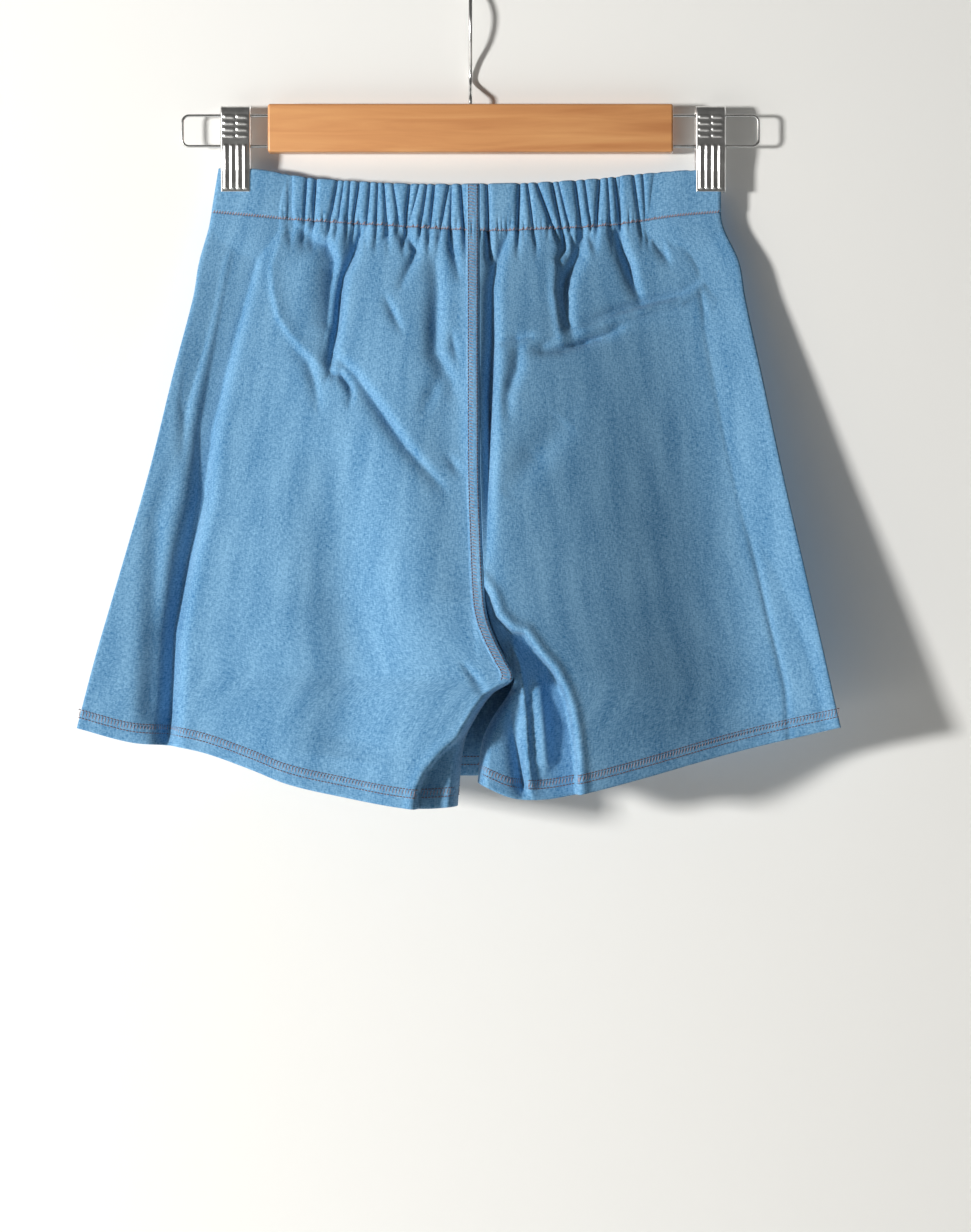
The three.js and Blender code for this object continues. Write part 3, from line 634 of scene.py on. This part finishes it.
# The casing's stitch: small slanting stitches that draw the cloth up.
for side in ("left", "right"):
    x = np.linspace(*{"left": (-167, 5.4), "right": (6.4, 161)}[side], 900)
    z = along(CASING_STITCH, 1, x) + 0.4
    spots, ways = stitches_along(on_back(side, x, z, 0.75), 1.75)
    tilt = np.array([0.55, 0, 1.0])
    ways = ways * 0.2 + tilt * np.linalg.norm(ways, axis=1)[:, None]
    stitch_row(spots, ways, f"casing_stitch_{side}", 2.6, 0.42, rose_thread)

# The centre seam: both panels' edges lie folded to the left and are sewn down in two rows, a raised strip
# from the top of the casing to the crotch.
STRIP_WIDTH = 8.6
strip_rows = np.concatenate([np.linspace(-130, -159, 40), np.linspace(-160, CROTCH - 1, 260)])
strip_across = np.linspace(0, 1, 12)
strip = np.zeros((len(strip_rows), len(strip_across), 3))
for j, share in enumerate(strip_across):
    x = along(INNER, 1, strip_rows) - 0.1 - STRIP_WIDTH * (1 - share)
    lifted = 0.9 * (1 - (2 * share - 1) ** 6)
    swell = np.where(strip_rows > -159, band_swell(x, strip_rows) - 0.1, 0)
    strip[:, j] = np.stack([x, back_depth("left", np.minimum(x, along(INNER, 1, strip_rows) - 2), strip_rows)
                            - BACK_OUT - 0.35 - lifted - swell, strip_rows], axis=-1)
centre_strip = shell("centre_seam_cloth", strip, STRIP_WALL, denim)
for row, share in enumerate((0.2, 0.78)):
    column = strip[:, int(round(share * (len(strip_across) - 1)))] + np.array([0, -0.42, 0])
    spots, ways = stitches_along(column, PITCH)
    stitch_row(spots, ways, f"seam_stitch_{row}", STITCH, STITCH_HALF, thread_with_painted_hole_shade)
middle = strip[:, 5] + np.array([0, -0.38, 0])
spots, ways = stitches_along(middle, PITCH)
ways = ways * 0.3 + np.array([1.0, 0, 0]) * np.linalg.norm(ways, axis=1)[:, None]
stitch_row(spots, ways, "seam_cover", 4.6, COVER_HALF, rose_thread)

# The skirt panel's hem stitch, seen between the legs and from the wall side.
x = np.linspace(-247, 233, 1500)
for row, rise in enumerate(HEM_ROWS):
    z = along(SKIRT_HEM, 1, x) + rise
    behind = skirt_depth(x, z)
    for face, proud in (("inner", -0.6), ("outer", 0.6)):
        spots, ways = stitches_along(np.stack([x, behind + proud, z], axis=-1), PITCH)
        stitch_row(spots, ways, f"skirt_stitch_{face}_{row}", STITCH, SKIRT_STITCH_HALF, thread_with_painted_hole_shade)

for side, wide in (("left", 262), ("right", 244)):
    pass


# The bar: a planed strip of varnished wood with softened edges and a long, faint grain.
def varnished_wood():
    material = bpy.data.materials.new("varnished_wood")
    material.use_nodes = True
    tree = material.node_tree
    shader = tree.nodes["Principled BSDF"]
    shader.inputs["Roughness"].default_value = 0.42
    shader.inputs["Coat Weight"].default_value = 0.25
    shader.inputs["Coat Roughness"].default_value = 0.25
    where = tree.nodes.new("ShaderNodeTexCoord")
    mapping = node(tree, "ShaderNodeMapping")
    mapping.inputs["Scale"].default_value = (9, 60, 120)
    tree.links.new(where.outputs["Object"], mapping.inputs["Vector"])
    grain = node(tree, "ShaderNodeTexNoise")
    grain.inputs["Scale"].default_value = 1
    grain.inputs["Detail"].default_value = 6
    grain.inputs["Distortion"].default_value = 0.6
    tree.links.new(mapping.outputs["Vector"], grain.inputs["Vector"])
    colour = ramp(tree, grain.outputs["Fac"], [
        (0.3, (0.53, 0.22, 0.08, 1)), (0.5, (0.63, 0.29, 0.11, 1)), (0.7, (0.7, 0.35, 0.14, 1))])
    tree.links.new(colour, shader.inputs["Base Color"])
    bump = node(tree, "ShaderNodeBump")
    bump.inputs["Strength"].default_value = 0.12
    bump.inputs["Distance"].default_value = 0.0003
    tree.links.new(grain.outputs["Fac"], bump.inputs["Height"])
    tree.links.new(bump.outputs["Normal"], shader.inputs["Normal"])
    return material


bpy.ops.object.select_all(action="DESELECT")
bpy.ops.mesh.primitive_cube_add(size=1, location=(bar_low + bar_high) / 2)
bar = bpy.context.active_object
bar.name = "wooden_bar"
bar.scale = bar_high - bar_low
bpy.ops.object.transform_apply(location=True, rotation=False, scale=True)
rounding = bar.modifiers.new("rounding", "BEVEL")
rounding.width = 1.6 * MM
rounding.segments = 5
bpy.ops.object.modifier_apply(modifier="rounding")
bpy.ops.object.shade_smooth_by_angle(angle=math.radians(35))
bar.data.materials.append(varnished_wood())
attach(bar, "root")
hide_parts("hanger_bar")


# Bright plated steel wire: the hook, and the loops that the clips slide on.
def bright_steel(name, rough):
    material = bpy.data.materials.new(name)
    material.use_nodes = True
    tree = material.node_tree
    shader = tree.nodes["Principled BSDF"]
    shader.inputs["Metallic"].default_value = 1
    shader.inputs["Roughness"].default_value = rough
    where = tree.nodes.new("ShaderNodeTexCoord")
    blotch = node(tree, "ShaderNodeTexNoise")
    blotch.inputs["Scale"].default_value = 160
    tree.links.new(where.outputs["Object"], blotch.inputs["Vector"])
    colour = ramp(tree, blotch.outputs["Fac"], [(0.3, (0.62, 0.62, 0.61, 1)), (0.7, (0.80, 0.80, 0.79, 1))])
    tree.links.new(colour, shader.inputs["Base Color"])
    return material


steel = bright_steel("bright_steel", 0.22)


def wire(name, points, diameter, replaced):
    curve = bpy.data.curves.new(name, "CURVE")
    curve.dimensions = "3D"
    curve.bevel_depth = diameter / 2
    curve.bevel_resolution = 5
    curve.use_fill_caps = True
    spline = curve.splines.new("POLY")
    spline.points.add(len(points) - 1)
    for spot, place in zip(spline.points, points):
        spot.co = (*place, 1)
    made = bpy.data.objects.new(name, curve)
    bpy.context.collection.objects.link(made)
    bpy.ops.object.select_all(action="DESELECT")
    bpy.context.view_layer.objects.active = made
    made.select_set(True)
    bpy.ops.object.convert(target="MESH")
    made = bpy.context.active_object
    made.data.polygons.foreach_set("use_smooth", [True] * len(made.data.polygons))
    made.data.materials.clear()
    made.data.materials.append(steel)
    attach(made, "root")
    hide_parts(replaced)
    return made


def rounded(points, rounds=10):
    """A smooth line through given points."""
    points = [Vector(p) for p in points]
    padded = [points[0] * 2 - points[1], *points, points[-1] * 2 - points[-2]]
    line_points = []
    for a, b, c, d in zip(padded, padded[1:], padded[2:], padded[3:]):
        for k in range(rounds):
            t = k / rounds
            line_points.append(0.5 * (2 * b + (c - a) * t + (2 * a - 5 * b + 4 * c - d) * t**2
                                      + (3 * b - a - 3 * c + d) * t**3))
    return [*line_points, points[-1]]


HOOK_ROUTE = [(19.5, -33), (20.6, -20), (14.8, -5.2), (0, 1.25), (-13.6, -4.4), (-18.6, -19), (-16.6, -35),
              (-10.6, -49), (-8.4, -60), (-13.4, -67.5), (-17.5, -72.5), (-18, -76.7)]
HOOK_WIRE = 2.5
wire("hook_wire", rounded([(0, y * MM, z * MM) for y, z in HOOK_ROUTE]), HOOK_WIRE * MM, "hook")
LOOP_WIRE = 2
LOOP_START = 131.8
UPPER, LOWER, REACH, BEND = -84.3, -104.2, 187.2, 4.2
for side, way in (("left", -1), ("right", 1)):
    corner = []
    for middle_z, turn_from in ((UPPER - BEND, 90), (LOWER + BEND, 0)):
        for k in range(9):
            turn = math.radians(turn_from - 90 * k / 8)
            corner.append((REACH - BEND + BEND * math.cos(turn), middle_z + BEND * math.sin(turn)))
    route = [(LOOP_START, UPPER), *corner, (LOOP_START, LOWER)]
    places = [(way * x * MM, HANG_PLANE, z * MM) for x, z in route]
    wire(f"loop_wire_{side}", places, LOOP_WIRE * MM, f"wire_loop_{side}")

# The clips: each jaw is a pressed strip of sheet steel with grip ribs, two short columns of level ribs
# above four long upright ones.
JAW_ROUTE = np.array([
    # out from the hanger's plane, z
    (3.7, -134), (3.7, -120), (4.6, -112), (5.0, -107), (5.0, -82.5), (4.2, -79.8), (2.6, -78.7),
    (0.4, -78.7),
])
JAW_SHEET = 0.6
RIB_HALF = 1.05
UPRIGHT_RIBS, UPRIGHT_PROUD = (-6.3, -2.1, 2.1, 6.3), 0.9
LEVEL_RIBS, LEVEL_PROUD = (-85.5, -89.6, -93.7, -97.8), 0.7
LEVEL_COLUMNS, COLUMN_HALF = (-4.2, 4.2), 3.4
FLANGE = 1.6
clip_steel = bright_steel("clip_steel", 0.3)
for side in ("left", "right"):
    for face, way in (("back", -1), ("front", 1)):
        node_name = f"clip_{side}_{face}_jaw"
        low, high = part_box(node_name)
        centre, half = (low.x + high.x) / 2 / MM, (high.x - low.x) / 2 / MM
        lengths = np.concatenate([[0], np.cumsum(np.hypot(*np.diff(JAW_ROUTE, axis=0).T))])
        down = np.linspace(0, lengths[-1], 140)
        out, z = np.interp(down, lengths, JAW_ROUTE[:, 0]), np.interp(down, lengths, JAW_ROUTE[:, 1])
        kernel = np.hanning(9) / np.hanning(9).sum()
        out = np.convolve(np.pad(out, 4, mode="edge"), kernel, mode="valid")
        across = np.linspace(-1, 1, 58)
        s, zz = np.meshgrid(across, z)
        yy = np.repeat(out[:, None], len(across), axis=1)
        x = s * half
        upright = sum(np.exp(-((x - rib) / RIB_HALF) ** 4) for rib in UPRIGHT_RIBS)
        upright = upright * smooth(-132.5, -131.5, zz) * (1 - smooth(-104.5, -103.2, zz))
        level = sum(np.exp(-((zz - rib) / RIB_HALF) ** 4) for rib in LEVEL_RIBS)
        level = level * sum(np.exp(-((x - column) / COLUMN_HALF) ** 6) for column in LEVEL_COLUMNS)
        flange = np.clip((np.abs(s) - 0.93) / 0.07, 0, 1)
        yy = yy + UPRIGHT_PROUD * upright + LEVEL_PROUD * level - FLANGE * flange**2
        points = np.stack([centre + x, way * yy, zz], axis=-1)
        if way > 0:
            points = points[:, ::-1]
        jaw = shell(f"jaw_{side}_{face}", points, JAW_SHEET, clip_steel)
        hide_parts(node_name)

# The studio: a white board close behind, a pale floor far below, a lamp from the left and one from behind.
# The board is clear from behind and lets the rear lamp through.
def plain(name, colour):
    material = bpy.data.materials.new(name)
    material.use_nodes = True
    tree = material.node_tree
    shader = tree.nodes["Principled BSDF"]
    shader.inputs["Base Color"].default_value = colour
    shader.inputs["Roughness"].default_value = 0.9
    shader.inputs["Specular IOR Level"].default_value = 0.1
    see_through = tree.nodes.new("ShaderNodeBsdfTransparent")
    mix = tree.nodes.new("ShaderNodeMixShader")
    seen = tree.nodes.new("ShaderNodeNewGeometry")
    path = tree.nodes.new("ShaderNodeLightPath")
    either = node(tree, "ShaderNodeMath", operation="MAXIMUM")
    tree.links.new(seen.outputs["Backfacing"], either.inputs[0])
    tree.links.new(path.outputs["Is Shadow Ray"], either.inputs[1])
    tree.links.new(either.outputs[0], mix.inputs["Fac"])
    tree.links.new(shader.outputs["BSDF"], mix.inputs[1])
    tree.links.new(see_through.outputs["BSDF"], mix.inputs[2])
    tree.links.new(mix.outputs["Shader"], tree.nodes["Material Output"].inputs["Surface"])
    return material


WALL_FRONT = HANG_PLANE + 12 * MM
wall_mesh = bpy.data.meshes.new("wall")
WALL = [(-1.6, -1.35), (1.6, -1.35), (1.6, -0.0005), (-1.6, -0.0005)]
wall_mesh.from_pydata([(x, WALL_FRONT, z) for x, z in WALL], [], [(0, 1, 2, 3)])
wall = bpy.data.objects.new("wall", wall_mesh)
bpy.context.collection.objects.link(wall)
wall_mesh.materials.append(plain("white_board", (0.86, 0.86, 0.84, 1)))
floor_mesh = bpy.data.meshes.new("floor")
floor_mesh.from_pydata([(-3, -3, -1.35), (3, -3, -1.35), (3, 3, -1.35), (-3, 3, -1.35)], [], [(0, 1, 2, 3)])
floor = bpy.data.objects.new("floor", floor_mesh)
bpy.context.collection.objects.link(floor)
floor_mesh.materials.append(plain("pale_floor", (0.8, 0.8, 0.79, 1)))

world = bpy.data.worlds.new("world") if bpy.context.scene.world is None else bpy.context.scene.world
bpy.context.scene.world = world
world.use_nodes = True
world.node_tree.nodes["Background"].inputs["Color"].default_value = (1, 0.98, 0.95, 1)
world.node_tree.nodes["Background"].inputs["Strength"].default_value = 0.11


def lamp(name, place, target, size, power, colour=(1, 1, 1)):
    data = bpy.data.lights.new(name, "AREA")
    data.size = size
    data.energy = power
    data.color = colour
    made = bpy.data.objects.new(name, data)
    bpy.context.collection.objects.link(made)
    made.location = place
    made.rotation_euler = (Vector(target) - Vector(place)).to_track_quat("-Z", "Y").to_euler()
    return made


MIDDLE = (0, HANG_PLANE, -0.36)
lamp("key", (-2.5, -2.0, -0.3), MIDDLE, 0.32, 122, (1, 0.985, 0.96))
lamp("rear_fill", (0.9, 2.2, 0.2), MIDDLE, 1.2, 26)
